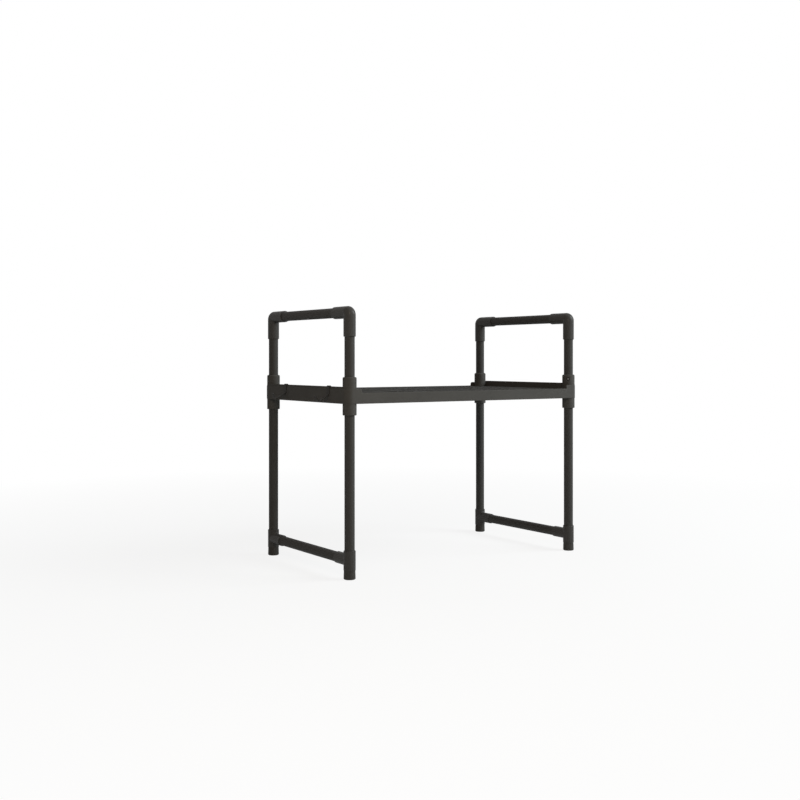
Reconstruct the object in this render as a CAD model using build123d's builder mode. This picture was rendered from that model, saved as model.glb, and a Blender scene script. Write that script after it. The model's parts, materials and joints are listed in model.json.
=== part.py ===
from build123d import *
import math
import os

# A free-standing rack: four tube legs carry one moulded shelf over a microwave oven,
# and four short posts above it carry two side rails. The rack stands on Z = 0 and
# faces -Y. X = 0 is the middle of everything, the hooks on the left wall included.

# Frame
post_pitch_x = 628.0
post_pitch_y = 348.0
tube_d = 22.0
tube_wall = 1.0
rail_axis_z = 567.5
crossbar_axis_z = 40.0
socket_play = 0.15

# Shelf
shelf_bottom_z = 372.5
side_wall_height = 36.4
band_height = 23.4
side_lip_height = 3.8
side_lip_setback = 1.5
side_lip_round = 0.5
shelf_wall = 2.8
wall_beyond_post = 15.8
tray_lip = 1.5
floor_thickness = 3.0
wing_reach = 21.0
wing_round = 5.0
wing_foot_round = 1.5
rim_round = 1.2
rib_thickness = 2.0
rib_depth = 8.0
bays_x = 6
bays_y = 3
floor_border_x = 34.0
floor_border_y = 22.0
slot_width = 7.0
slot_pitch = 19.0
slot_margin = 11.0

# Corner sleeves of the shelf
sleeve_d = 30.0
sleeve_above_wall = 20.7
sleeve_below_wall = 24.3
sleeve_top_round = 3.0
sleeve_bottom_chamfer = 1.0
socket_web = 4.0

# Elbows between posts and side rails
elbow_d = 26.4
elbow_bend_r = 6.5
elbow_drop = 52.0
elbow_reach = 59.0
elbow_shoulder = 16.0
elbow_core_d = 17.0
elbow_core_bend_r = 10.0
lip_chamfer = 0.8

# Tees between legs and crossbars
tee_d = 26.0
tee_side_d = 25.4
tee_height = 41.4
tee_reach = 48.5
tee_shoulder = 13.4
tee_fillet = 3.0

# Feet
foot_bottom_d = 25.8
foot_top_d = 24.6
foot_sole = 3.0
foot_edge_chamfer = 1.4

# Screws that lock the upper posts in the shelf
screw_head_d = 6.8
screw_head_h = 1.7
screw_head_chamfer = 0.6
screw_d = 3.5
screw_length = 8.0
screw_seat_depth = 1.9
screw_recess_d = 8.6
screw_play = 0.15
drive_length = 3.8
drive_width = 0.9
drive_depth = 0.9

# Hooks that ride on the left side wall
hook_width = 10.0
hook_thickness = 1.5
hook_play = 0.25
hook_grip = 8.0
hook_bend_drop = 17.9
hook_valley_drop = 35.1
hook_valley_out = 27.0
hook_tip_drop = 20.4
hook_tip_out = 33.0
hook_grip_r = 1.9
hook_arm_r = 6.0
hook_valley_r = 6.5
front_hook_y = -112.0
rear_hook_y = 83.0

# Heights and radii that follow from the driving dimensions
wall_top_z = shelf_bottom_z + side_wall_height
rim_z = wall_top_z - side_lip_height
band_top_z = shelf_bottom_z + band_height
floor_top_z = band_top_z - tray_lip
floor_bottom_z = floor_top_z - floor_thickness
sleeve_top_z = wall_top_z + sleeve_above_wall
sleeve_bottom_z = shelf_bottom_z - sleeve_below_wall
web_z = (sleeve_top_z + sleeve_bottom_z) / 2
screw_z = (wall_top_z + sleeve_top_z) / 2
bore_r = tube_d / 2 + socket_play
tee_bottom_z = crossbar_axis_z - tee_height / 2
tee_top_z = crossbar_axis_z + tee_height / 2
foot_height = tee_bottom_z
screw_seat_r = sleeve_d / 2 - screw_seat_depth
screw_hole_start_r = (tube_d / 2 - tube_wall) / 2

# Plan sizes. The hooks reach past the left wall, so the frame stands half that to the right.
hook_tip_slope = math.atan2(hook_valley_drop - hook_tip_drop, hook_tip_out - hook_valley_out)
hook_overhang = hook_tip_out + hook_thickness / 2 * math.sin(hook_tip_slope)
rack_x = hook_overhang / 2
outer_x = post_pitch_x + 2 * wall_beyond_post
outer_y = post_pitch_y + 2 * wall_beyond_post
inner_x = outer_x - 2 * shelf_wall
inner_y = outer_y - 2 * shelf_wall
left_face_x = rack_x - outer_x / 2
bay_x = (inner_x - 2 * floor_border_x) / bays_x
bay_y = (inner_y - 2 * floor_border_y) / bays_y
slot_length = bay_y - rib_thickness - 2 * slot_margin
slots_in_bay = int((bay_x - rib_thickness - 2 * slot_margin - slot_width) / slot_pitch) + 1

sides = {"left": -1, "right": 1}
ends = {"front": -1, "rear": 1}
same_place = 0.01


def post_x(side):
    return rack_x + sides[side] * post_pitch_x / 2


def post_y(end):
    return ends[end] * post_pitch_y / 2


def level(z):
    return Plane(origin=(rack_x, 0, z))


def screw_plane(side, end, distance):
    """Square to the screw, at a distance from the post's axis; the screw faces the open end of the shelf."""
    outward = Vector(-sides[side], ends[end], 0).normalized()
    axis_point = Vector(post_x(side), post_y(end), screw_z)
    return Plane(origin=axis_point + outward * distance, z_dir=outward)


def on_outline(edge):
    """True for an edge that lies on the outer face of a wall, a band or a rounded corner."""
    at_front_or_back = all(abs(abs(v.Y) - outer_y / 2) < same_place for v in edge.vertices())
    at_side = all(abs(abs(v.X - rack_x) - outer_x / 2) < same_place for v in edge.vertices())
    at_corner = edge.geom_type == GeomType.CIRCLE and abs(edge.radius - wall_beyond_post) < same_place
    return at_front_or_back or at_side or at_corner


os.makedirs("parts", exist_ok=True)


# Shelf: one moulding with a slotted floor, ribs below it, low bands at the front and
# the back, higher side walls that wrap round the corners, and a double socket at each corner.
# Between its two sleeves each side wall carries a thinner lip, set back from its outer face.
with BuildPart() as shelf:
    with BuildSketch(level(shelf_bottom_z)):
        RectangleRounded(outer_x, outer_y, wall_beyond_post)
    extrude(amount=rim_z - shelf_bottom_z)

    wing_x = post_pitch_x / 2 - wing_reach
    step_height = rim_z - band_top_z
    with BuildSketch(Plane(origin=(rack_x, 0, band_top_z), x_dir=(1, 0, 0), z_dir=(0, -1, 0))):
        with BuildLine():
            FilletPolyline(
                (-outer_x / 2, step_height),
                (-wing_x, step_height),
                (-wing_x, 0),
                (wing_x, 0),
                (wing_x, step_height),
                (outer_x / 2, step_height),
                radius=(wing_round, wing_foot_round, wing_foot_round, wing_round),
            )
            Polyline(
                (outer_x / 2, step_height),
                (outer_x / 2, 2 * step_height),
                (-outer_x / 2, 2 * step_height),
                (-outer_x / 2, step_height),
            )
        make_face()
    extrude(amount=outer_y, both=True, mode=Mode.SUBTRACT)

    lines_on_top = shelf.edges().filter_by(lambda e: e.center().Z > band_top_z - same_place)
    fillet(lines_on_top.filter_by(on_outline), rim_round)
    fillet(shelf.edges().group_by(Axis.Z)[0], rim_round)

    with BuildSketch(level(floor_top_z)):
        RectangleRounded(inner_x, inner_y, wall_beyond_post - shelf_wall)
    extrude(amount=rim_z - floor_top_z, mode=Mode.SUBTRACT)
    with BuildSketch(level(shelf_bottom_z)):
        RectangleRounded(inner_x, inner_y, wall_beyond_post - shelf_wall)
    extrude(amount=floor_bottom_z - shelf_bottom_z, mode=Mode.SUBTRACT)

    lip_thickness = shelf_wall - side_lip_setback
    with BuildSketch(level(rim_z)):
        with GridLocations(inner_x + lip_thickness, 0, 2, 1):
            Rectangle(lip_thickness, post_pitch_y)
    extrude(amount=side_lip_height)
    fillet(shelf.edges().group_by(Axis.Z)[-1].filter_by(Axis.Y), side_lip_round)

    with BuildSketch(level(floor_bottom_z)):
        with GridLocations(bay_x, 0, bays_x + 1, 1):
            Rectangle(rib_thickness, inner_y + shelf_wall)
        with GridLocations(0, bay_y, 1, bays_y + 1):
            Rectangle(inner_x + shelf_wall, rib_thickness)
    extrude(amount=-rib_depth)

    with BuildSketch(level(floor_top_z)):
        with GridLocations(bay_x, bay_y, bays_x, bays_y):
            with GridLocations(slot_pitch, 0, slots_in_bay, 1):
                Rectangle(slot_width, slot_length)
    extrude(amount=-floor_thickness, mode=Mode.SUBTRACT)

    with BuildSketch(level(sleeve_bottom_z)):
        with GridLocations(post_pitch_x, post_pitch_y, 2, 2):
            Circle(sleeve_d / 2)
    extrude(amount=sleeve_top_z - sleeve_bottom_z)
    fillet(shelf.edges().group_by(Axis.Z)[-1], sleeve_top_round)
    chamfer(shelf.edges().group_by(Axis.Z)[0], sleeve_bottom_chamfer)

    socket_depth = (sleeve_top_z - sleeve_bottom_z - socket_web) / 2
    with BuildSketch(level(sleeve_top_z)):
        with GridLocations(post_pitch_x, post_pitch_y, 2, 2):
            Circle(bore_r)
    extrude(amount=-socket_depth, mode=Mode.SUBTRACT)
    with BuildSketch(level(sleeve_bottom_z)):
        with GridLocations(post_pitch_x, post_pitch_y, 2, 2):
            Circle(bore_r)
    extrude(amount=socket_depth, mode=Mode.SUBTRACT)

    for side in sides:
        for end in ends:
            with BuildSketch(screw_plane(side, end, screw_seat_r)):
                Circle(screw_recess_d / 2)
            extrude(amount=screw_seat_depth, mode=Mode.SUBTRACT)
            with BuildSketch(screw_plane(side, end, screw_hole_start_r)):
                Circle(screw_d / 2 + screw_play)
            extrude(amount=screw_seat_r - screw_hole_start_r, mode=Mode.SUBTRACT)
shelf.part.label = "shelf_panel"
export_step(shelf.part, "parts/shelf_panel.step")


# Tubes, elbows, tees and feet at the four corners
for side in sides:
    for end, inward in (("front", 1), ("rear", -1)):
        x = post_x(side)
        y = post_y(end)
        corner = f"{end}_{side}"

        with BuildPart() as leg:
            with BuildSketch(Plane(origin=(x, y, foot_sole))):
                Circle(tube_d / 2)
                Circle(tube_d / 2 - tube_wall, mode=Mode.SUBTRACT)
            extrude(amount=web_z - socket_web / 2 - foot_sole)
        leg.part.label = f"{corner}_leg"
        export_step(leg.part, f"parts/{corner}_leg.step")

        with BuildPart() as post:
            with BuildSketch(Plane(origin=(x, y, web_z + socket_web / 2))):
                Circle(tube_d / 2)
                Circle(tube_d / 2 - tube_wall, mode=Mode.SUBTRACT)
            extrude(amount=rail_axis_z - elbow_shoulder - web_z - socket_web / 2)
            with BuildSketch(screw_plane(side, end, screw_hole_start_r)):
                Circle(screw_d / 2 + screw_play)
            extrude(amount=tube_d / 2, mode=Mode.SUBTRACT)
        post.part.label = f"{corner}_post"
        export_step(post.part, f"parts/{corner}_post.step")

        with BuildPart() as elbow:
            lower_mouth = Plane(origin=(x, y, rail_axis_z - elbow_drop))
            rail_mouth = Plane(origin=(x, y + inward * elbow_reach, rail_axis_z), z_dir=(0, -inward, 0))
            with BuildSketch(lower_mouth):
                Circle(elbow_d / 2)
            extrude(amount=elbow_drop - elbow_bend_r)
            with BuildSketch(rail_mouth):
                Circle(elbow_d / 2)
            extrude(amount=elbow_reach - elbow_bend_r)
            bend_centre = (x, y + inward * elbow_bend_r, rail_axis_z - elbow_bend_r)
            with BuildSketch(Plane(origin=(x, y, rail_axis_z - elbow_bend_r), x_dir=(0, inward, 0))):
                Circle(elbow_d / 2)
                with Locations((elbow_bend_r, 0)):
                    Rectangle(elbow_d, elbow_d, align=(Align.MIN, Align.CENTER), mode=Mode.SUBTRACT)
            revolve(axis=Axis(bend_centre, (-inward, 0, 0)), revolution_arc=90)
            chamfer(elbow.edges().group_by(Axis.Z)[0], lip_chamfer)
            chamfer(elbow.edges().sort_by(Axis.Y)[-1 if inward > 0 else 0], lip_chamfer)
            with BuildSketch(lower_mouth):
                Circle(bore_r)
            extrude(amount=elbow_drop - elbow_shoulder, mode=Mode.SUBTRACT)
            with BuildSketch(rail_mouth):
                Circle(bore_r)
            extrude(amount=elbow_reach - elbow_shoulder, mode=Mode.SUBTRACT)
            corner_plane = Plane(origin=(x, y, rail_axis_z), x_dir=(0, inward, 0), z_dir=(inward, 0, 0))
            with BuildLine(corner_plane) as core:
                FilletPolyline((0, -elbow_drop), (0, 0), (elbow_reach, 0), radius=elbow_core_bend_r)
            with BuildSketch(lower_mouth):
                Circle(elbow_core_d / 2)
            sweep(path=core.line, mode=Mode.SUBTRACT)
        elbow.part.label = f"{corner}_elbow"
        export_step(elbow.part, f"parts/{corner}_elbow.step")

        with BuildPart() as tee:
            leg_mouth = Plane(origin=(x, y, tee_bottom_z))
            side_mouth = Plane(origin=(x, y + inward * tee_reach, crossbar_axis_z), z_dir=(0, -inward, 0))
            with BuildSketch(leg_mouth):
                Circle(tee_d / 2)
            extrude(amount=tee_height)
            with BuildSketch(side_mouth):
                Circle(tee_side_d / 2)
            extrude(amount=tee_reach)
            seam = tee.edges().filter_by(lambda e: e.geom_type not in (GeomType.CIRCLE, GeomType.LINE))
            fillet(seam, tee_fillet)
            chamfer(tee.edges().filter_by(GeomType.CIRCLE).group_by(Axis.Z)[-1], lip_chamfer)
            rims = tee.edges().filter_by(GeomType.CIRCLE).sort_by(Axis.Y)
            chamfer(rims[-1 if inward > 0 else 0], lip_chamfer)
            with BuildSketch(leg_mouth):
                Circle(bore_r)
            extrude(amount=tee_height, mode=Mode.SUBTRACT)
            with BuildSketch(side_mouth):
                Circle(bore_r)
            extrude(amount=tee_reach - tee_shoulder, mode=Mode.SUBTRACT)
        tee.part.label = f"{corner}_tee"
        export_step(tee.part, f"parts/{corner}_tee.step")

        with BuildPart() as foot:
            with BuildSketch(Plane(origin=(x, y, 0), x_dir=(1, 0, 0), z_dir=(0, -1, 0))):
                with BuildLine():
                    Polyline(
                        (0, 0),
                        (foot_bottom_d / 2 - foot_edge_chamfer, 0),
                        (foot_bottom_d / 2, foot_edge_chamfer),
                        (foot_top_d / 2, foot_height),
                        (bore_r, foot_height),
                        (bore_r, foot_sole),
                        (0, foot_sole),
                        close=True,
                    )
                make_face()
            revolve(axis=Axis((x, y, 0), (0, 0, 1)))
        foot.part.label = f"{corner}_foot"
        export_step(foot.part, f"parts/{corner}_foot.step")


# Side rails on top and crossbars below, each between two fittings
for side in sides:
    for name, height, shoulder in (
        ("top_rail", rail_axis_z, elbow_shoulder),
        ("crossbar", crossbar_axis_z, tee_shoulder),
    ):
        with BuildPart() as rail:
            start = (post_x(side), post_y("front") + shoulder, height)
            with BuildSketch(Plane(origin=start, z_dir=(0, 1, 0))):
                Circle(tube_d / 2)
                Circle(tube_d / 2 - tube_wall, mode=Mode.SUBTRACT)
            extrude(amount=post_pitch_y - 2 * shoulder)
        rail.part.label = f"{side}_{name}"
        export_step(rail.part, f"parts/{side}_{name}.step")


# Locking screws: one group of four, with pan heads and cross recesses
with BuildPart() as screws:
    for side in sides:
        for end in ends:
            seat = screw_plane(side, end, screw_seat_r)
            section = Plane(origin=seat.origin, x_dir=(0, 0, 1), z_dir=Vector(0, 0, 1).cross(seat.z_dir))
            with BuildSketch(section) as half_screw:
                Rectangle(screw_d / 2, screw_length, align=(Align.MIN, Align.MAX))
                Rectangle(screw_head_d / 2, screw_head_h, align=(Align.MIN, Align.MIN))
                rim = half_screw.vertices().group_by(Axis.Y)[-1].sort_by(Axis.X)[-1]
                chamfer(rim, screw_head_chamfer)
            revolve(axis=Axis(seat.origin, seat.z_dir))
            with BuildSketch(screw_plane(side, end, screw_seat_r + screw_head_h)):
                Rectangle(drive_length, drive_width)
                Rectangle(drive_width, drive_length)
            extrude(amount=-drive_depth, mode=Mode.SUBTRACT)
screws.part.label = "post_locking_screws"
export_step(screws.part, "parts/post_locking_screws.step")


# Hooks: a bent steel strap that clips over the side wall and runs out to an upturned tip
for name, hook_y in (("front_hook", front_hook_y), ("rear_hook", rear_hook_y)):
    with BuildPart() as hook:
        half = hook_thickness / 2
        inner_leg = left_face_x + shelf_wall + hook_play + half
        outer_leg = left_face_x - hook_play - half
        bridge_z = wall_top_z + hook_play + half
        with BuildLine(Plane(origin=(0, hook_y, 0), x_dir=(1, 0, 0), z_dir=(0, -1, 0))) as strap:
            FilletPolyline(
                (inner_leg, wall_top_z - hook_grip),
                (inner_leg, bridge_z),
                (outer_leg, bridge_z),
                (outer_leg, wall_top_z - hook_bend_drop),
                (left_face_x - hook_valley_out, wall_top_z - hook_valley_drop),
                (left_face_x - hook_tip_out, wall_top_z - hook_tip_drop),
                radius=(hook_grip_r, hook_grip_r, hook_arm_r, hook_valley_r),
            )
        with BuildSketch(Plane(origin=(inner_leg, hook_y, wall_top_z - hook_grip))):
            Rectangle(hook_thickness, hook_width)
        sweep(path=strap.line)
    hook.part.label = name
    export_step(hook.part, f"parts/{name}.step")
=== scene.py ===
"""Looks of a free-standing tube rack.

It has coated tubes, moulded fittings, a slotted shelf, locking screws and sliding hooks.
"""

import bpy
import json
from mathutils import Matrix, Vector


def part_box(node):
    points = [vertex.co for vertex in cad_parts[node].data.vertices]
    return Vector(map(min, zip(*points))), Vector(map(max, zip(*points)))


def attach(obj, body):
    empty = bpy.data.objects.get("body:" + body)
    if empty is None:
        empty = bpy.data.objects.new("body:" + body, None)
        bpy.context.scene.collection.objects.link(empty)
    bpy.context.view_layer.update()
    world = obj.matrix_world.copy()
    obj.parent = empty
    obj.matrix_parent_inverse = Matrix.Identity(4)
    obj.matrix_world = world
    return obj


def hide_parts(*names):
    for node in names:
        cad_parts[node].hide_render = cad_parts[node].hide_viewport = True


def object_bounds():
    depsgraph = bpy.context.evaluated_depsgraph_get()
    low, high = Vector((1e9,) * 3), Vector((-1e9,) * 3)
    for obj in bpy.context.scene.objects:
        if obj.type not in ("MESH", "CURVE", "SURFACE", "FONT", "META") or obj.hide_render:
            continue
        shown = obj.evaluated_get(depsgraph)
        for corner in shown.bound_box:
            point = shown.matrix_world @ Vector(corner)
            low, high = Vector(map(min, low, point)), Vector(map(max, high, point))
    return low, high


bl_info = {
    "name": "Tube Rack Looks",
    "version": (1, 0, 0),
    "blender": (4, 5, 0),
    "location": "3D View > Sidebar > Rack",
    "description": "Gives the packed rack its finishes, screws, mould marks and a studio",
    "category": "Object",
}

import json
import math

import bpy
from bpy.props import FloatProperty, FloatVectorProperty, IntProperty, PointerProperty
from mathutils import Vector

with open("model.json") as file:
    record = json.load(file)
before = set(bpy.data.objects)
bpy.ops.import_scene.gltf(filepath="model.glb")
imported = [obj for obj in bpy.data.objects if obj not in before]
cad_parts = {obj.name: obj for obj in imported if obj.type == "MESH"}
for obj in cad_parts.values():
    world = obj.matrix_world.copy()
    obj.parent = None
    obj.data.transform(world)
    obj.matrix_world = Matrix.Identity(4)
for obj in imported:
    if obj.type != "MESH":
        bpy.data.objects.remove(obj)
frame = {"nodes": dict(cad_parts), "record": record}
cad_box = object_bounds()

MM = 0.001
WHITE = (1.0, 1.0, 1.0, 1.0)
RACK = "rack"
SIDES = {"left": -1, "right": 1}
ENDS = {"front": -1, "rear": 1}
CORNERS = [(end, side) for side in SIDES for end in ENDS]


def node_middle(name):
    """Middle of a CAD node's box."""
    low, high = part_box(name)
    return (low + high) / 2


def slot_nodes(slot):
    """The CAD nodes that take their finish from one slot of the record."""
    rows = frame["record"]["subparts"]
    return [frame["nodes"][row["node"]] for row in rows if row["material_slot"] == slot]


def slot_material(slot):
    """The material that a slot's CAD nodes have been given."""
    return slot_nodes(slot)[0].data.materials[0]


# Node trees


def pick(sockets, key):
    """A socket by its place, its identifier or its name."""
    if isinstance(key, int):
        return sockets[key]
    for socket in sockets:
        if key in (socket.identifier, socket.name):
            return socket
    raise KeyError(f"no socket {key} on {sockets[0].node.bl_idname}")


class Wire:
    """A socket that takes part in sums: each operation adds a Math node."""

    def __init__(self, net, socket):
        self.net = net
        self.socket = socket

    def out(self, key):
        """Another output of the node that this wire comes from."""
        return Wire(self.net, pick(self.socket.node.outputs, key))

    def sum(self, operation, first, second):
        """A Math node of two values."""
        return self.net.node("ShaderNodeMath", {"operation": operation}, {0: first, 1: second})

    def __add__(self, other):
        return self.sum("ADD", self, other)

    __radd__ = __add__

    def __sub__(self, other):
        return self.sum("SUBTRACT", self, other)

    def __rsub__(self, other):
        return self.sum("SUBTRACT", other, self)

    def __mul__(self, other):
        return self.sum("MULTIPLY", self, other)

    __rmul__ = __mul__

    def __truediv__(self, other):
        return self.sum("DIVIDE", self, other)

    def __rtruediv__(self, other):
        return self.sum("DIVIDE", other, self)

    def at_most(self, other):
        """The lower of two values."""
        return self.sum("MINIMUM", self, other)

    def at_least(self, other):
        """The higher of two values."""
        return self.sum("MAXIMUM", self, other)

    def clamped(self):
        """The value, kept between 0 and 1."""
        return self.at_least(0.0).at_most(1.0)


class Net:
    """A node tree in the making."""

    def __init__(self, tree):
        self.tree = tree

    def node(self, kind, settings=None, sockets=None, output=0):
        """Adds a node, sets it, then gives its sockets their values or links."""
        made = self.tree.nodes.new(kind)
        for key, value in (settings or {}).items():
            if key == "stops":
                self.set_stops(made.color_ramp, value)
            else:
                setattr(made, key, value)
        for key, value in (sockets or {}).items():
            socket = pick(made.inputs, key)
            if isinstance(value, Wire):
                self.tree.links.new(value.socket, socket)
            else:
                socket.default_value = value
        return Wire(self, pick(made.outputs, output)) if made.outputs else made

    def join(self, wire, target, key):
        """Adds a wire to a socket that takes several."""
        self.tree.links.new(wire.socket, pick(target.socket.node.inputs, key))

    @staticmethod
    def set_stops(ramp, stops):
        """Sets a ramp to grey stops, each a position and a shade."""
        while len(ramp.elements) < len(stops):
            ramp.elements.new(1.0)
        for element, (position, shade) in zip(ramp.elements, stops):
            element.position = position
            element.color = (shade, shade, shade, 1.0)


class Paint(Net):
    """One procedural material, patterned on Object coordinates in metres."""

    LEVEL_TILT = 0.90
    LEVEL_FADE = 0.05
    TOP_FADE = 0.25 * MM
    CELL_RISE = 5.0

    def __init__(self, name):
        self.material = bpy.data.materials.new(name)
        self.material.use_nodes = True
        super().__init__(self.material.node_tree)
        self.tree.nodes.clear()
        self.place = self.node("ShaderNodeTexCoord", output="Object")

    def stretched(self, factors):
        """The place, with each axis multiplied, so that a pattern runs along the others."""
        sockets = {0: self.place, 1: factors}
        return self.node("ShaderNodeVectorMath", {"operation": "MULTIPLY"}, sockets)

    def noise(self, grain, detail=2.0, roughness=0.5, place=None):
        """Noise from 0 to 1 whose blobs are about one grain across."""
        return self.node("ShaderNodeTexNoise", None, {
            "Vector": place or self.place, "Scale": 1 / grain, "Detail": detail,
            "Roughness": roughness,
        })

    def specks(self, grain, bare, full):
        """Sparse specks: 0 where the noise is under bare, and 1 where it is over full."""
        value = self.noise(grain, detail=0.0)
        stops = [(0.0, 0.0), (bare, 0.0), (full, 1.0)]
        return self.node("ShaderNodeValToRGB", {"stops": stops}, {"Fac": value})

    def cells(self, size):
        """Cells about one size across: 0 in the seams between them and 1 in their middles."""
        settings = {"feature": "DISTANCE_TO_EDGE"}
        sockets = {"Vector": self.place, "Scale": 1 / size, "Randomness": 0.9}
        edge = self.node("ShaderNodeTexVoronoi", settings, sockets, "Distance")
        return (edge * self.CELL_RISE).at_most(1.0)

    def facing_up(self, top):
        """1 on faces that look straight up and lie below top, 0 on all others."""
        normal = self.node("ShaderNodeNewGeometry", output="Normal")
        tilt = self.node("ShaderNodeSeparateXYZ", None, {"Vector": normal}, "Z")
        level = self.node("ShaderNodeSeparateXYZ", None, {"Vector": self.place}, "Z")
        flat = ((tilt - self.LEVEL_TILT) / self.LEVEL_FADE).clamped()
        return flat * ((top - level) / self.TOP_FADE).clamped()

    def blend(self, share, first, second):
        """From one colour to another."""
        sockets = {"Factor_Float": share, "A_Color": first, "B_Color": second}
        return self.node("ShaderNodeMix", {"data_type": "RGBA"}, sockets, "Result_Color")

    def tinted(self, share, colour, dark, light):
        """A colour from its dark to its light shade."""
        return self.blend(share, shade_of(colour, dark), shade_of(colour, light))

    def relief(self, height, depth, under=None):
        """A bumped normal; height runs from 0 to 1 and depth is in metres."""
        sockets = {"Strength": 1.0, "Distance": depth, "Height": height}
        if under is not None:
            sockets["Normal"] = under
        return self.node("ShaderNodeBump", None, sockets)

    def surface(self, colour, roughness, normal, **constants):
        """Ends the material in a Principled BSDF."""
        sockets = {"Base Color": colour, "Roughness": roughness, "Normal": normal}
        sockets.update({key.replace("_", " "): value for key, value in constants.items()})
        shader = self.node("ShaderNodeBsdfPrincipled", None, sockets)
        self.node("ShaderNodeOutputMaterial", None, {"Surface": shader})
        return self.material


def swing(value, reach):
    """A value from 0 to 1 as a swing about zero, its whole reach from end to end."""
    return (value - 0.5) * reach


def shade_of(colour, factor):
    """A colour made lighter or darker."""
    return tuple(min(1.0, channel * factor) for channel in colour[:3]) + (1.0,)


# Materials

# The coat: the grit is finer and flatter than the peel, and the specks, painted glints of sparkle,
# are finer and lighter.
COAT_CLOUD = 90 * MM
GRIT_FINENESS = 5
GLINT_FINENESS = 3
GLINT_SHARE = 0.35
GLINT_LIGHT = 2.2

# The plastic: the pits are wider and deeper than the grain, and the streaks run along one axis.
PLASTIC_CLOUD = 60 * MM
STREAK_WIDTH = 14 * MM
STREAK_STRETCH = 0.08
GRAIN_SHARE = 0.35
GRAIN_LEVEL = 0.17
PIT_WIDTH = 2.6
PIT_DEPTH = 1.2
TRAY_DULLNESS = 0.14

# The zinc.
ZINC_CLOUD = 0.9 * MM
ZINC_SCRATCH = 0.12 * MM
ZINC_DEPTH = 0.02 * MM


def powder_coat(look):
    """Satin black powder coat: orange peel, a faint cloudiness and fine light specks that are
    painted glints of sparkle.
    """
    paint = Paint("black_powder_coat")
    cloud = paint.noise(COAT_CLOUD, detail=3.0)
    peel = paint.noise(look.peel_size, detail=1.5)
    grit = paint.noise(look.peel_size / GRIT_FINENESS)
    # Painted glints: fine light specks in the base colour stand for the coat's sparkle.
    painted_glint = paint.specks(look.peel_size / GLINT_FINENESS, bare=0.66, full=0.72)
    base = paint.tinted(cloud, look.colour, dark=0.88, light=1.12)
    colour = paint.blend(painted_glint * GLINT_SHARE, base, shade_of(look.colour, GLINT_LIGHT))
    roughness = look.roughness + swing(cloud, reach=0.10) + swing(grit, reach=0.12)
    normal = paint.relief(grit, look.peel_depth / GRIT_FINENESS)
    normal = paint.relief(peel, look.peel_depth, normal)
    return paint.surface(colour, roughness, normal, Specular_IOR_Level=look.shine)


def moulded(name, look, colour, roughness, gloss=0.0, streak_axis=None, tray=False):
    """Moulded plastic: eroded grain, flow streaks, an uneven sheen and a tray's leathery floor,
    which is drawn darker with painted shade.
    """
    paint = Paint(name)
    cloud = paint.noise(PLASTIC_CLOUD)
    factors = tuple(STREAK_STRETCH if axis == streak_axis else 1.0 for axis in range(3))
    streaks = paint.noise(STREAK_WIDTH, place=paint.stretched(factors))
    grain = paint.noise(look.grain_size, detail=2.5, roughness=0.6)
    pits = paint.noise(look.grain_size * PIT_WIDTH, detail=1.0)
    tone = (cloud * 0.5 + streaks * 0.5 + grain * GRAIN_SHARE - GRAIN_LEVEL).clamped()
    shade = paint.tinted(tone, colour, dark=0.82, light=1.18)
    sheen = roughness + swing(streaks, reach=0.10) + swing(grain, reach=0.16)
    normal = paint.relief(pits, look.grain_depth * PIT_DEPTH)
    normal = paint.relief(grain, look.grain_depth, normal)
    if tray:
        upward = paint.facing_up(look.tray_top)
        leather = paint.cells(look.leather_size)
        # Painted shade: the tray's upward faces take a darker copy of the shelf's colour, which
        # stands in for the shade on its floor.
        painted_floor_shade = paint.tinted(tone, shade_of(colour, look.tray_painted_shade), dark=0.85, light=1.1)
        shade = paint.blend(upward, shade, painted_floor_shade)
        sheen = sheen + upward * TRAY_DULLNESS
        normal = paint.relief(leather * upward, look.leather_depth, normal)
    return paint.surface(
        shade, sheen, normal,
        Specular_IOR_Level=look.shine, Coat_Weight=gloss, Coat_Roughness=look.gloss_roughness,
    )


def black_zinc(look):
    """Black zinc on steel, set very dark so that it also stands for the shade round the head, with
    a painted highlight in the middle of the head.
    """
    paint = Paint("black_zinc")
    wear = paint.noise(ZINC_CLOUD, detail=3.0)
    scratch = paint.noise(ZINC_SCRATCH)
    # Painted highlight: the middle of each head takes a light steel colour that stands for the
    # light on it.
    painted_highlight = paint.node("ShaderNodeAttribute", {"attribute_name": CENTRE}, None, "Fac")
    zinc = paint.tinted(wear, look.colour, dark=0.8, light=1.3)
    colour = paint.blend(painted_highlight, zinc, shade_of(look.painted_highlight_colour, 1.0))
    roughness = look.roughness + swing(scratch, reach=0.2)
    normal = paint.relief(scratch, ZINC_DEPTH)
    return paint.surface(colour, roughness, normal, Metallic=look.metal)


# Pieces made by Geometry Nodes

FACING = "facing"
CENTRE = "centre"


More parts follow.
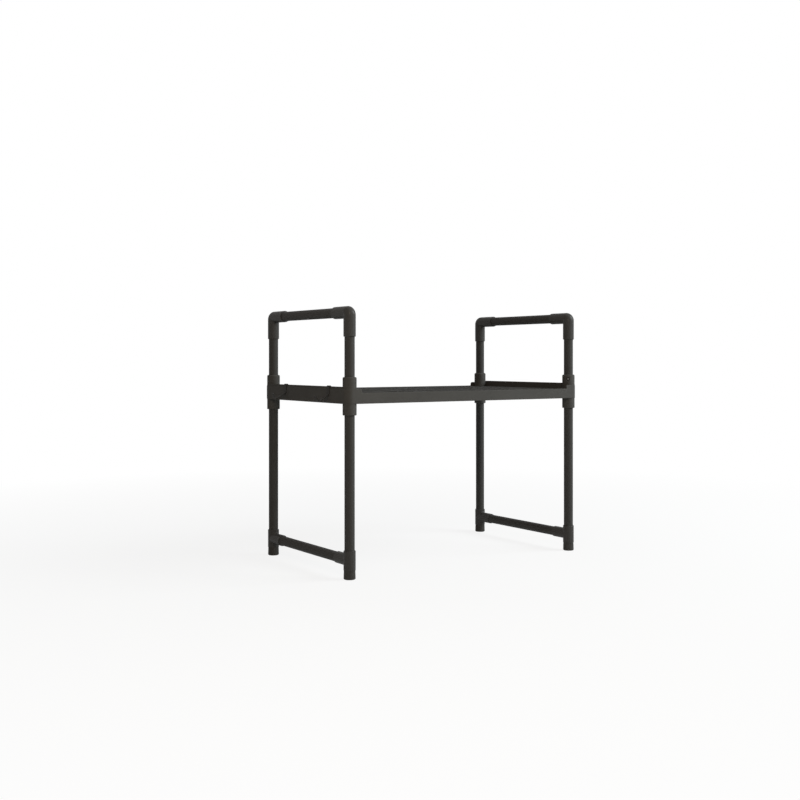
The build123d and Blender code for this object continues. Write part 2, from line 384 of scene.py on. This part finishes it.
class Recipe(Net):
    """A Geometry Nodes tree with named inputs, which ends in Realize Instances and Set Material."""

    KINDS = {float: "NodeSocketFloat", int: "NodeSocketInt"}

    def __init__(self, name, inputs):
        tree = bpy.data.node_groups.new(name, "GeometryNodeTree")
        super().__init__(tree)
        tree.interface.new_socket("Geometry", in_out="INPUT", socket_type="NodeSocketGeometry")
        self.values = inputs
        self.keys = {}
        for label, value in inputs.items():
            kind = self.KINDS[type(value)]
            socket = tree.interface.new_socket(label, in_out="INPUT", socket_type=kind)
            self.keys[label] = socket.identifier
        tree.interface.new_socket("Geometry", in_out="OUTPUT", socket_type="NodeSocketGeometry")
        self.inputs = self.node("NodeGroupInput")

    def value(self, label):
        """One of the tree's inputs."""
        return self.inputs.out(label)

    def vector(self, x=0.0, y=0.0, z=0.0):
        """Three numbers as a vector."""
        return self.node("ShaderNodeCombineXYZ", None, {"X": x, "Y": y, "Z": z})

    def ring(self, radius, sides):
        """A circle as a curve."""
        sockets = {"Radius": radius, "Resolution": sides}
        return self.node("GeometryNodeCurvePrimitiveCircle", {"mode": "RADIUS"}, sockets)

    def swept(self, path, section):
        """A section run along a path, with its ends closed and its sides smooth."""
        sockets = {"Curve": path, "Profile Curve": section, "Fill Caps": True}
        bead = self.node("GeometryNodeCurveToMesh", None, sockets)
        return self.node("GeometryNodeSetShadeSmooth", None, {"Geometry": bead})

    def middle_share(self, radius):
        """1 on the Z axis, falling to 0 at a radius."""
        place = self.node("GeometryNodeInputPosition")
        flat = self.node("ShaderNodeVectorMath", {"operation": "MULTIPLY"}, {
            0: place, 1: (1.0, 1.0, 0.0)})
        distance = self.node("ShaderNodeVectorMath", {"operation": "LENGTH"}, {0: flat}, "Value")
        return (1 - distance / radius).at_least(0.0)

    def moved(self, geometry, offset):
        """The geometry, moved by an offset."""
        sockets = {"Geometry": geometry, "Translation": offset}
        return self.node("GeometryNodeTransform", None, sockets)

    def on_points(self, shape):
        """The shape on each point of the seed mesh, its Z along the way that the point faces."""
        settings = {"data_type": "FLOAT_VECTOR"}
        facing = self.node("GeometryNodeInputNamedAttribute", settings, {"Name": FACING})
        turn = self.node("FunctionNodeAlignRotationToVector", {"axis": "Z"}, {"Vector": facing})
        sockets = {"Points": self.value("Geometry"), "Instance": shape, "Rotation": turn}
        return self.node("GeometryNodeInstanceOnPoints", None, sockets)

    def end(self, geometry, material):
        """Ends the tree in one real mesh of one material."""
        real = self.node("GeometryNodeRealizeInstances", None, {"Geometry": geometry})
        sockets = {"Geometry": real, "Material": material}
        dressed = self.node("GeometryNodeSetMaterial", None, sockets)
        self.node("NodeGroupOutput", None, {"Geometry": dressed})
        self.material = material

    def cook(self, name, seed_mesh):
        """Runs the tree on a mesh and returns the result as a plain object at the origin."""
        piece = bpy.data.objects.new(name, seed_mesh)
        bpy.context.scene.collection.objects.link(piece)
        modifier = piece.modifiers.new(name, "NODES")
        modifier.node_group = self.tree
        for label, key in self.keys.items():
            modifier[key] = self.values[label]
        bpy.context.view_layer.update()
        cooked = piece.evaluated_get(bpy.context.evaluated_depsgraph_get())
        result = bpy.data.meshes.new_from_object(cooked)
        piece.modifiers.remove(modifier)
        piece.data = result
        result.name = name
        result.materials.clear()
        result.materials.append(self.material)
        return piece


def point_mesh(name, places, facings):
    """A mesh of loose points, each with the way that it faces."""
    mesh = bpy.data.meshes.new(name)
    mesh.from_pydata(places, [], [])
    facing = mesh.attributes.new(FACING, "FLOAT_VECTOR", "POINT")
    facing.data.foreach_set("vector", [value for vector in facings for value in vector])
    return mesh


def line_mesh(name, lines):
    """A mesh of loose polylines."""
    points = []
    edges = []
    for line in lines:
        start = len(points)
        points += line
        edges += [(start + i, start + i + 1) for i in range(len(line) - 1)]
    mesh = bpy.data.meshes.new(name)
    mesh.from_pydata(points, edges, [])
    return mesh


def dress(piece, body, slot, *replaced):
    """Seats a finished piece on its body and hides the CAD nodes that it stands for. Its slot is
    not used.
    """
    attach(piece, body)
    if replaced:
        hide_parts(*replaced)


# Settings


class CoatSettings(bpy.types.PropertyGroup):
    """Powder coat on the steel tubes."""

    colour: FloatVectorProperty(
        name="Colour", description="Colour of the coat",
        subtype="COLOR", size=3, min=0, max=1, default=(0.045, 0.0436, 0.0415),
    )
    roughness: FloatProperty(
        name="Roughness", description="Roughness of the coat", default=0.70, min=0, max=1,
    )
    shine: FloatProperty(
        name="Shine", description="Specular level of the coat", default=0.10, min=0, max=1,
    )
    peel_size: FloatProperty(
        name="Peel size", description="Width of the orange peel's dimples",
        default=1.4 * MM, unit="LENGTH", precision=5,
    )
    peel_depth: FloatProperty(
        name="Peel depth", description="Depth of the orange peel's dimples",
        default=0.035 * MM, unit="LENGTH", precision=5,
    )


class MouldSettings(bpy.types.PropertyGroup):
    """Plastic of the fittings, shelf and feet, and the coat of the hooks."""

    fitting_colour: FloatVectorProperty(
        name="Fitting colour", description="Colour of the elbows and tees",
        subtype="COLOR", size=3, min=0, max=1, default=(0.0435, 0.0420, 0.0398),
    )
    shelf_colour: FloatVectorProperty(
        name="Shelf colour", description="Colour of the shelf",
        subtype="COLOR", size=3, min=0, max=1, default=(0.0610, 0.0590, 0.0555),
    )
    foot_colour: FloatVectorProperty(
        name="Foot colour", description="Colour of the foot caps",
        subtype="COLOR", size=3, min=0, max=1, default=(0.044, 0.042, 0.039),
    )
    hook_colour: FloatVectorProperty(
        name="Hook colour", description="Colour of the hooks",
        subtype="COLOR", size=3, min=0, max=1, default=(0.030, 0.0285, 0.0265),
    )
    fitting_roughness: FloatProperty(
        name="Fitting roughness", description="Roughness of the elbows and tees",
        default=0.68, min=0, max=1,
    )
    shelf_roughness: FloatProperty(
        name="Shelf roughness", description="Roughness of the shelf", default=0.82, min=0, max=1,
    )
    foot_roughness: FloatProperty(
        name="Foot roughness", description="Roughness of the foot caps", default=0.62, min=0, max=1,
    )
    hook_roughness: FloatProperty(
        name="Hook roughness", description="Roughness of the hooks", default=0.66, min=0, max=1,
    )
    shine: FloatProperty(
        name="Shine", description="Specular level of the plastic", default=0.10, min=0, max=1,
    )
    fitting_gloss: FloatProperty(
        name="Fitting gloss", description="Weight of the gloss on the elbows and tees",
        default=0.12, min=0, max=1,
    )
    gloss_roughness: FloatProperty(
        name="Gloss roughness", description="Roughness of that gloss", default=0.23, min=0, max=1,
    )
    # Painted shade: how much darker the tray's upward faces are drawn than the rest of the shelf.
    tray_painted_shade: FloatProperty(
        name="Tray tone", description="How bright the tray's floor is beside the rest of the shelf",
        default=0.5, min=0, max=1,
    )
    tray_top: FloatProperty(
        name="Tray top",
        description="Height under which the shelf's upward faces belong to the tray's floor",
        default=395.1 * MM, unit="LENGTH", precision=5,
    )
    leather_size: FloatProperty(
        name="Leather size", description="Width of the leathery cells on the tray's floor",
        default=1.9 * MM, unit="LENGTH", precision=5,
    )
    leather_depth: FloatProperty(
        name="Leather depth", description="Depth of the seams between those cells",
        default=0.12 * MM, unit="LENGTH", precision=5,
    )
    grain_size: FloatProperty(
        name="Grain size", description="Width of the moulded grain",
        default=0.42 * MM, unit="LENGTH", precision=5,
    )
    grain_depth: FloatProperty(
        name="Grain depth", description="Depth of the moulded grain",
        default=0.02 * MM, unit="LENGTH", precision=5,
    )


class ScrewSettings(bpy.types.PropertyGroup):
    """Sizes and finish of the locking screws."""

    # Partly painted shade: the zinc is set very dark, so that the rim of each head also stands for
    # the shade round it.
    colour: FloatVectorProperty(
        name="Colour", description="Colour of the black zinc",
        subtype="COLOR", size=3, min=0, max=1, default=(0.008, 0.0078, 0.0075),
    )
    # Painted highlight: the light colour that is drawn in the middle of each head.
    painted_highlight_colour: FloatVectorProperty(
        name="Worn colour", description="Colour of the steel where the driver has rubbed it",
        subtype="COLOR", size=3, min=0, max=1, default=(0.26, 0.255, 0.25),
    )
    roughness: FloatProperty(
        name="Roughness", description="Roughness of the zinc", default=0.42, min=0, max=1,
    )
    metal: FloatProperty(
        name="Metal", description="Metallic value of the zinc", default=0.85, min=0, max=1,
    )
    head_radius: FloatProperty(
        name="Head radius", description="Radius of the head",
        default=3.4 * MM, unit="LENGTH", precision=5,
    )
    head_height: FloatProperty(
        name="Head height", description="Height of the head",
        default=1.7 * MM, unit="LENGTH", precision=5,
    )
    head_narrowing: FloatProperty(
        name="Head narrowing", description="Share of its radius that the head loses up to its top",
        default=0.28, min=0, max=0.9,
    )
    head_sides: IntProperty(
        name="Head sides", description="Sides of the head's circle", default=40, min=8,
    )
    head_rings: IntProperty(
        name="Head rings", description="Rings of faces up the head's rim", default=8, min=1,
    )
    # Painted highlight: the share of the head that it covers.
    worn_reach: FloatProperty(
        name="Worn reach", description="Share of the head's radius that the rubbed middle takes",
        default=0.74, min=0.05, max=1,
    )
    shank_radius: FloatProperty(
        name="Shank radius", description="Radius of the shank",
        default=1.75 * MM, unit="LENGTH", precision=5,
    )
    shank_length: FloatProperty(
        name="Shank length", description="Length of the shank",
        default=8.0 * MM, unit="LENGTH", precision=5,
    )
    shank_sides: IntProperty(
        name="Shank sides", description="Sides of the shank's circle", default=24, min=8,
    )
    recess_reach: FloatProperty(
        name="Recess reach", description="Length of the cross recess from tip to tip",
        default=3.8 * MM, unit="LENGTH", precision=5,
    )
    recess_width: FloatProperty(
        name="Recess width", description="Width of each arm of the recess",
        default=0.9 * MM, unit="LENGTH", precision=5,
    )
    recess_depth: FloatProperty(
        name="Recess depth", description="Depth of the recess",
        default=0.9 * MM, unit="LENGTH", precision=5,
    )


class BeadSettings(bpy.types.PropertyGroup):
    """Fine lines and marks that the moulds leave."""

    bead_sides: IntProperty(
        name="Bead sides", description="Sides of a bead's section", default=6, min=3,
    )
    line_radius: FloatProperty(
        name="Line radius", description="Radius of the bead along a parting line",
        default=0.16 * MM, unit="LENGTH", precision=5,
    )
    bend_radius: FloatProperty(
        name="Bend radius", description="Radius of the elbow's middle line in its bend",
        default=6.5 * MM, unit="LENGTH", precision=5,
    )
    bend_steps: IntProperty(
        name="Bend steps", description="Straight runs along a line's bend", default=14, min=2,
    )
    lip: FloatProperty(
        name="Lip", description="Length that a line leaves free at a mouth's chamfer",
        default=0.9 * MM, unit="LENGTH", precision=5,
    )
    branch_radius: FloatProperty(
        name="Branch radius", description="Outer radius of the tee's branch",
        default=12.7 * MM, unit="LENGTH", precision=5,
    )
    branch_gap: FloatProperty(
        name="Branch gap", description="Length that a line leaves free beside the tee's fillet",
        default=3.4 * MM, unit="LENGTH", precision=5,
    )
    mark_radius: FloatProperty(
        name="Mark radius", description="Radius of an ejector pin's witness mark",
        default=3.0 * MM, unit="LENGTH", precision=5,
    )
    mark_bead: FloatProperty(
        name="Mark bead", description="Radius of the bead round a mark",
        default=0.12 * MM, unit="LENGTH", precision=5,
    )
    mark_sides: IntProperty(
        name="Mark sides", description="Sides of a mark's circle", default=32, min=8,
    )
    mark_columns: IntProperty(
        name="Mark columns", description="Marks along the shelf", default=6, min=1,
    )
    mark_rows: IntProperty(
        name="Mark rows", description="Marks across the shelf", default=3, min=1,
    )
    border: FloatVectorProperty(
        name="Border",
        description="Width of the shelf outside the field of marks, along and across",
        size=2, default=(36.8 * MM, 24.8 * MM), unit="LENGTH", precision=5,
    )


class StudioSettings(bpy.types.PropertyGroup):
    """Camera, floor and lights."""

    lens: FloatProperty(
        name="Lens", description="Focal length in mm on a 36 mm sensor", default=48.76,
    )
    shift_y: FloatProperty(name="Shift", description="Vertical shift of the lens", default=-0.0516)
    camera_height: FloatProperty(
        name="Camera height", description="Height of the lens", default=0.4685, unit="LENGTH",
    )
    camera_yaw: FloatProperty(
        name="Camera yaw", description="Turn of the view to the right of straight ahead",
        subtype="ANGLE", default=math.radians(34.146),
    )
    camera_place: FloatVectorProperty(
        name="Camera place",
        description="Where the camera stands in plan, from the middle of the shelf",
        size=2, unit="LENGTH", default=(-1.5179, -2.1399),
    )
    key_place: FloatVectorProperty(
        name="Key place", description="Place of the light at the right",
        subtype="TRANSLATION", size=3, unit="LENGTH", default=(2.45, -1.85, 2.2),
    )
    key_size: FloatProperty(
        name="Key size", description="Width of that light", default=2.0, min=0.1, unit="LENGTH",
    )
    key_power: FloatProperty(name="Key power", description="Power of that light", default=155.0)
    key_colour: FloatVectorProperty(
        name="Key colour", description="Colour of that light",
        subtype="COLOR", size=3, min=0, max=1, default=(0.92, 0.98, 1.0),
    )
    fill_place: FloatVectorProperty(
        name="Fill place", description="Place of the warm light at the left",
        subtype="TRANSLATION", size=3, unit="LENGTH", default=(-1.0, -1.3, 1.15),
    )
    fill_size: FloatProperty(
        name="Fill size", description="Width of that light", default=0.7, min=0.1, unit="LENGTH",
    )
    fill_power: FloatProperty(name="Fill power", description="Power of that light", default=8.0)
    fill_colour: FloatVectorProperty(
        name="Fill colour", description="Colour of that light",
        subtype="COLOR", size=3, min=0, max=1, default=(1.0, 0.81, 0.61),
    )
    top_place: FloatVectorProperty(
        name="Top place", description="Place of the light above",
        subtype="TRANSLATION", size=3, unit="LENGTH", default=(0.2, 0.3, 2.4),
    )
    top_size: FloatProperty(
        name="Top size", description="Width of that light", default=1.6, min=0.1, unit="LENGTH",
    )
    top_power: FloatProperty(name="Top power", description="Power of that light", default=3.0)
    top_colour: FloatVectorProperty(
        name="Top colour", description="Colour of that light",
        subtype="COLOR", size=3, min=0, max=1, default=WHITE[:3],
    )
    room_light: FloatProperty(
        name="Room light", description="Strength of the light from all around", default=0.14,
    )
    room_colour: FloatVectorProperty(
        name="Room colour", description="Colour of the light from all around",
        subtype="COLOR", size=3, min=0, max=1, default=(1.0, 0.98, 0.95),
    )
    floor_reach: FloatProperty(
        name="Floor reach", description="Distance from the rack to the floor's edges",
        default=12.0, min=1, unit="LENGTH",
    )
    floor_colour: FloatVectorProperty(
        name="Floor colour", description="Colour of the floor where it shows",
        subtype="COLOR", size=3, min=0, max=1, default=(0.72, 0.72, 0.71),
    )
    floor_white: FloatProperty(
        name="Floor white",
        description="How much of the floor shows plain white to the camera near the rack",
        default=0.85, min=0, max=1,
    )
    floor_near: FloatProperty(
        name="Floor near", description="Distance from the rack at which the floor starts to fade",
        default=0.5, min=0, unit="LENGTH",
    )
    floor_fade: FloatProperty(
        name="Floor fade", description="Further distance over which the floor turns wholly white",
        default=1.6, unit="LENGTH",
    )


class RackSettings(bpy.types.PropertyGroup):
    """All settings of the rack's looks."""

    coat: PointerProperty(type=CoatSettings)
    mould: PointerProperty(type=MouldSettings)
    screw: PointerProperty(type=ScrewSettings)
    bead: PointerProperty(type=BeadSettings)
    studio: PointerProperty(type=StudioSettings)


# Operators


def paint_nodes(slot, material):
    """Gives every CAD node of a slot its material."""
    for node in slot_nodes(slot):
        node.data.materials.clear()
        node.data.materials.append(material)


class RACK_OT_tubes(bpy.types.Operator):
    """Coats the posts, legs, rails and crossbars"""

    bl_idname = "rack.tubes"
    bl_label = "Coat the tubes"

    def execute(self, context):
        paint_nodes("tube", powder_coat(context.scene.rack_looks.coat))
        return {"FINISHED"}


class RACK_OT_mouldings(bpy.types.Operator):
    """Finishes the moulded fittings, shelf and feet, and the coated hooks"""

    bl_idname = "rack.mouldings"
    bl_label = "Finish the mouldings"

    def execute(self, context):
        look = context.scene.rack_looks.mould
        for slot, name, extras in (
            ("fitting", "fitting_plastic", {"gloss": look.fitting_gloss}),
            ("shelf", "shelf_plastic", {"streak_axis": 0, "tray": True}),
            ("foot", "foot_plastic", {}),
            ("hook", "hook_coat", {}),
        ):
            colour = getattr(look, f"{slot}_colour")
            roughness = getattr(look, f"{slot}_roughness")
            paint_nodes(slot, moulded(name, look, colour, roughness, **extras))
        return {"FINISHED"}


def screw_heads():
    """The top of each locking screw's head and the way that it faces, read from the CAD screws."""
    points = [vertex.co for vertex in frame["nodes"]["post_locking_screws"].data.vertices]
    tops = []
    facings = []
    for end, side in CORNERS:
        low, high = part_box(f"{end}_{side}_post")
        axis = (low + high) / 2
        near = high.x - low.x
        own = [place for place in points if (place.xy - axis.xy).length < near]
        facing = Vector((-SIDES[side], ENDS[end], 0)).normalized()
        reach = max((place - axis).dot(facing) for place in own)
        level = (min(place.z for place in own) + max(place.z for place in own)) / 2
        tops.append(Vector((axis.x, axis.y, level)) + facing * reach)
        facings.append(facing)
    return tops, facings


class RACK_OT_screws(bpy.types.Operator):
    """Turns the locking screws, with narrowed heads and cross recesses"""

    bl_idname = "rack.screws"
    bl_label = "Turn the screws"

    def execute(self, context):
        look = context.scene.rack_looks.screw
        recipe = Recipe("turned_screws", {
            "Head radius": look.head_radius, "Head height": look.head_height,
            "Head narrowing": look.head_narrowing, "Head sides": look.head_sides,
            "Head rings": look.head_rings, "Worn reach": look.worn_reach,
            "Shank radius": look.shank_radius, "Shank length": look.shank_length,
            "Shank sides": look.shank_sides, "Recess reach": look.recess_reach,
            "Recess width": look.recess_width, "Recess depth": look.recess_depth,
        })
        head_radius = recipe.value("Head radius")
        head_height = recipe.value("Head height")
        blank = recipe.node("GeometryNodeMeshCylinder", {"fill_type": "NGON"}, {
            "Vertices": recipe.value("Head sides"), "Side Segments": recipe.value("Head rings"),
            "Radius": head_radius, "Depth": head_height,
        })
        place = recipe.node("GeometryNodeInputPosition")
        level = recipe.node("ShaderNodeSeparateXYZ", None, {"Vector": place}, "Z")
        rise = level / head_height + 0.5
        share = 1 - rise * rise * rise * recipe.value("Head narrowing")
        narrowed = recipe.node("ShaderNodeVectorMath", {"operation": "MULTIPLY"}, {
            0: place, 1: recipe.vector(share, share, 1.0)})
        head = recipe.node("GeometryNodeSetPosition", None, {
            "Geometry": blank, "Position": narrowed})
        head = recipe.moved(head, recipe.vector(z=head_height * -0.5))

        reach, width, depth = (
            recipe.value(f"Recess {key}") for key in ("reach", "width", "depth"))
        settings = {"operation": "DIFFERENCE", "solver": "EXACT"}
        cut = recipe.node("GeometryNodeMeshBoolean", settings, {
            "Mesh 1": head, "Self Intersection": True})
        for size in (
            recipe.vector(reach, width, depth * 2),
            recipe.vector(width, reach, depth * 2),
        ):
            arm = recipe.node("GeometryNodeMeshCube", None, {"Size": size})
            recipe.join(arm, cut, "Mesh 2")

        settings = {"data_type": "FLOAT", "domain": "POINT"}
        # Painted highlight: 1 in the middle of the head, falling to 0 towards its rim.
        brightened = recipe.middle_share(head_radius * recipe.value("Worn reach"))
        cut = recipe.node("GeometryNodeStoreNamedAttribute", settings, {
            "Geometry": cut, "Name": CENTRE, "Value": brightened})

        length = recipe.value("Shank length")
        shank = recipe.node("GeometryNodeMeshCylinder", {"fill_type": "NGON"}, {
            "Vertices": recipe.value("Shank sides"), "Radius": recipe.value("Shank radius"),
            "Depth": length,
        })
        shank = recipe.moved(shank, recipe.vector(z=head_height * -1 - length * 0.5))
        whole = recipe.node("GeometryNodeJoinGeometry")
        for part in (cut, shank):
            recipe.join(part, whole, "Geometry")
        recipe.end(recipe.on_points(whole), black_zinc(look))
        screws = recipe.cook("turned_screws", point_mesh("screw_heads", *screw_heads()))
        dress(screws, RACK, "screw", "post_locking_screws")
        return {"FINISHED"}


def branch_view(box, end):
    """A fitting in the plane of its branch: its middle x, way inward, back, front and mouth."""
    low, high = box
    inward = -ENDS[end]
    back, mouth = (low.y, high.y) if inward > 0 else (high.y, low.y)
    return (low.x + high.x) / 2, inward, back, back + inward * (high.x - low.x), mouth


def elbow_lines(look, end, side):
    """The two parting lines of an elbow, in the plane of its bend: outside and inside."""
    low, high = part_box(f"{end}_{side}_elbow")
    x, inward, back, front, mouth = branch_view((low, high), end)
    bottom = low.z + look.lip
    tip = mouth - inward * look.lip
    bend = (high.x - low.x) / 2 + look.bend_radius
    outside = [Vector((x, back, bottom))]
    for step in range(look.bend_steps + 1):
        turn = math.pi / 2 * step / look.bend_steps
        y = back + inward * bend * (1 - math.cos(turn))
        outside.append(Vector((x, y, high.z - bend * (1 - math.sin(turn)))))
    outside.append(Vector((x, tip, high.z)))
    under = high.z - (high.x - low.x)
    inside = [Vector((x, front, bottom)), Vector((x, front, under)), Vector((x, tip, under))]
    return outside, inside


def tee_lines(look, end, side):
    """The parting lines of a tee, in the plane of its branch."""
    low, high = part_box(f"{end}_{side}_tee")
    x, inward, back, front, mouth = branch_view((low, high), end)
    tip = mouth - inward * look.lip
    top = high.z - look.lip
    lines = [[Vector((x, back, low.z)), Vector((x, back, top))]]
    for way, stop in ((1, top), (-1, low.z)):
        level = (low.z + high.z) / 2 + way * look.branch_radius
        start = front + inward * look.branch_gap
        lines.append([Vector((x, start, level)), Vector((x, tip, level))])
        start = level + way * look.branch_gap
        lines.append([Vector((x, front, start)), Vector((x, front, stop))])
    return lines


class RACK_OT_parting_lines(bpy.types.Operator):
    """Draws the parting lines of the moulded elbows and tees"""

    bl_idname = "rack.parting_lines"
    bl_label = "Draw the parting lines"

    def execute(self, context):
        look = context.scene.rack_looks.bead
        lines = []
        for corner in CORNERS:
            lines += elbow_lines(look, *corner)
            lines += tee_lines(look, *corner)
        recipe = Recipe("parting_lines", {
            "Line radius": look.line_radius, "Bead sides": look.bead_sides})
        path = recipe.node("GeometryNodeMeshToCurve", None, {"Mesh": recipe.value("Geometry")})
        section = recipe.ring(recipe.value("Line radius"), recipe.value("Bead sides"))
        recipe.end(recipe.swept(path, section), slot_material("fitting"))
        beads = recipe.cook("parting_lines", line_mesh("parting_paths", lines))
        dress(beads, RACK, "fitting")
        return {"FINISHED"}


class RACK_OT_ejector_marks(bpy.types.Operator):
    """Rings the underside of the shelf's floor with the marks of the ejector pins"""

    bl_idname = "rack.ejector_marks"
    bl_label = "Ring the ejector marks"

    def execute(self, context):
        look = context.scene.rack_looks.bead
        shelf = frame["nodes"]["shelf_panel"]
        up = Vector((0, 0, 1))
        low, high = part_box("shelf_panel")
        inset = Vector((*look.border, 0))
        low, high = low + inset, high - inset
        places = []
        for column in range(look.mark_columns):
            for row in range(look.mark_rows):
                x = low.x + (high.x - low.x) * (column + 0.5) / look.mark_columns
                y = low.y + (high.y - low.y) * (row + 0.5) / look.mark_rows
                hit, place, _, _ = shelf.ray_cast(Vector((x, y, low.z)), up)
                if not hit:
                    raise RuntimeError(f"no floor above the ejector mark at {x:.3f}, {y:.3f}")
                places.append(place)
        recipe = Recipe("ejector_marks", {
            "Mark radius": look.mark_radius, "Mark sides": look.mark_sides,
            "Mark bead": look.mark_bead, "Bead sides": look.bead_sides,
        })
        path = recipe.ring(recipe.value("Mark radius"), recipe.value("Mark sides"))
        section = recipe.ring(recipe.value("Mark bead"), recipe.value("Bead sides"))
        recipe.end(recipe.on_points(recipe.swept(path, section)), slot_material("shelf"))
        pins = point_mesh("ejector_pins", places, [up] * len(places))
        dress(recipe.cook("ejector_marks", pins), RACK, "shelf")
        return {"FINISHED"}


# Studio

FLOOR_CLOUD = 0.7
FLOOR_CLOUD_REACH = 0.02


def seen_directly(net):
    """1 for what the camera sees, straight or in a reflection, and 0 for light on its way."""
    path = net.node("ShaderNodeLightPath")
    mirrored = path.out("Is Glossy Ray").at_least(path.out("Is Transmission Ray"))
    return path.out("Is Camera Ray").at_least(mirrored)


def floor_material(studio):
    """A pale floor that takes the rack's shadow and turns wholly white further out."""
    paint = Paint("studio_floor")
    settings = {"operation": "LENGTH"}
    distance = paint.node("ShaderNodeVectorMath", settings, {0: paint.place}, "Value")
    far = ((distance - studio.floor_near) / studio.floor_fade).clamped()
    share = seen_directly(paint) * (studio.floor_white + (1 - studio.floor_white) * far)
    shades = [
        tuple(channel + way * FLOOR_CLOUD_REACH for channel in studio.floor_colour) + (1.0,)
        for way in (-1, 1)
    ]
    matte = paint.node("ShaderNodeBsdfDiffuse", None, {
        "Color": paint.blend(paint.noise(FLOOR_CLOUD), *shades)})
    white = paint.node("ShaderNodeEmission", None, {"Color": WHITE, "Strength": 1.0})
    mixed = paint.node("ShaderNodeMixShader", None, {"Fac": share, 1: matte, 2: white})
    paint.node("ShaderNodeOutputMaterial", None, {"Surface": mixed})
    return paint.material


def room_world(studio):
    """White to the camera and in reflections; elsewhere a soft dim room."""
    world = bpy.data.worlds.new("studio_room")
    world.use_nodes = True
    net = Net(world.node_tree)
    net.tree.nodes.clear()
    room = net.node("ShaderNodeBackground", None, {
        "Color": shade_of(studio.room_colour, 1.0), "Strength": studio.room_light})
    white = net.node("ShaderNodeBackground", None, {"Color": WHITE, "Strength": 1.0})
    mixed = net.node("ShaderNodeMixShader", None, {"Fac": seen_directly(net), 1: room, 2: white})
    net.node("ShaderNodeOutputWorld", None, {"Surface": mixed})
    return world


def area_light(studio, key):
    """A square soft light that faces the middle of the rack."""
    place, size, power, colour = (
        getattr(studio, f"{key}_{value}") for value in ("place", "size", "power", "colour"))
    light = bpy.data.lights.new(f"{key}_light", "AREA")
    light.shape = "SQUARE"
    light.size = size
    light.energy = power
    light.color = colour
    lamp = bpy.data.objects.new(f"{key}_light", light)
    bpy.context.scene.collection.objects.link(lamp)
    middle = (cad_box[0] + cad_box[1]) / 2
    lamp.location = place
    lamp.rotation_euler = (middle - Vector(place)).to_track_quat("-Z", "Y").to_euler()


class RACK_OT_studio(bpy.types.Operator):
    """Sets up the camera, the floor, the lights and the room"""

    bl_idname = "rack.studio"
    bl_label = "Set up the studio"

    def execute(self, context):
        studio = context.scene.rack_looks.studio
        scene = context.scene
        scene.view_settings.view_transform = "Standard"

        camera = bpy.data.cameras.new("photo_camera")
        camera.lens = studio.lens
        camera.shift_y = studio.shift_y
        stand = bpy.data.objects.new("photo_camera", camera)
        middle = node_middle("shelf_panel")
        stand.location = middle + Vector((*studio.camera_place, studio.camera_height - middle.z))
        stand.rotation_euler = (math.pi / 2, 0, -studio.camera_yaw)
        scene.collection.objects.link(stand)
        scene.camera = stand

        mesh = bpy.data.meshes.new("floor")
        reach = studio.floor_reach
        corners = [(-reach, -reach, 0), (reach, -reach, 0), (reach, reach, 0), (-reach, reach, 0)]
        mesh.from_pydata(corners, [], [(0, 1, 2, 3)])
        mesh.materials.append(floor_material(studio))
        floor = bpy.data.objects.new("floor", mesh)
        scene.collection.objects.link(floor)

        scene.world = room_world(studio)
        for key in ("key", "fill", "top"):
            area_light(studio, key)
        return {"FINISHED"}


class RACK_PT_looks(bpy.types.Panel):
    """Lists the rack's settings and operators"""

    bl_idname = "RACK_PT_looks"
    bl_label = "Rack looks"
    bl_space_type = "VIEW_3D"
    bl_region_type = "UI"
    bl_category = "Rack"

    def draw(self, context):
        looks = context.scene.rack_looks
        for step in STEPS:
            self.layout.operator(step.bl_idname)
        for group in (looks.coat, looks.mould, looks.screw, looks.bead, looks.studio):
            box = self.layout.box()
            for key in group.__annotations__:
                box.prop(group, key)


SETTINGS = (CoatSettings, MouldSettings, ScrewSettings, BeadSettings, StudioSettings, RackSettings)
STEPS = (
    RACK_OT_tubes, RACK_OT_mouldings, RACK_OT_screws, RACK_OT_parting_lines,
    RACK_OT_ejector_marks, RACK_OT_studio,
)


def register():
    for kind in (*SETTINGS, *STEPS, RACK_PT_looks):
        bpy.utils.register_class(kind)
    bpy.types.Scene.rack_looks = PointerProperty(type=RackSettings)


def unregister():
    del bpy.types.Scene.rack_looks
    for kind in reversed((*SETTINGS, *STEPS, RACK_PT_looks)):
        bpy.utils.unregister_class(kind)


def main():
    register()
    for step in STEPS:
        group, name = step.bl_idname.split(".")
        getattr(getattr(bpy.ops, group), name)()


if __name__ == "__main__":
    main()
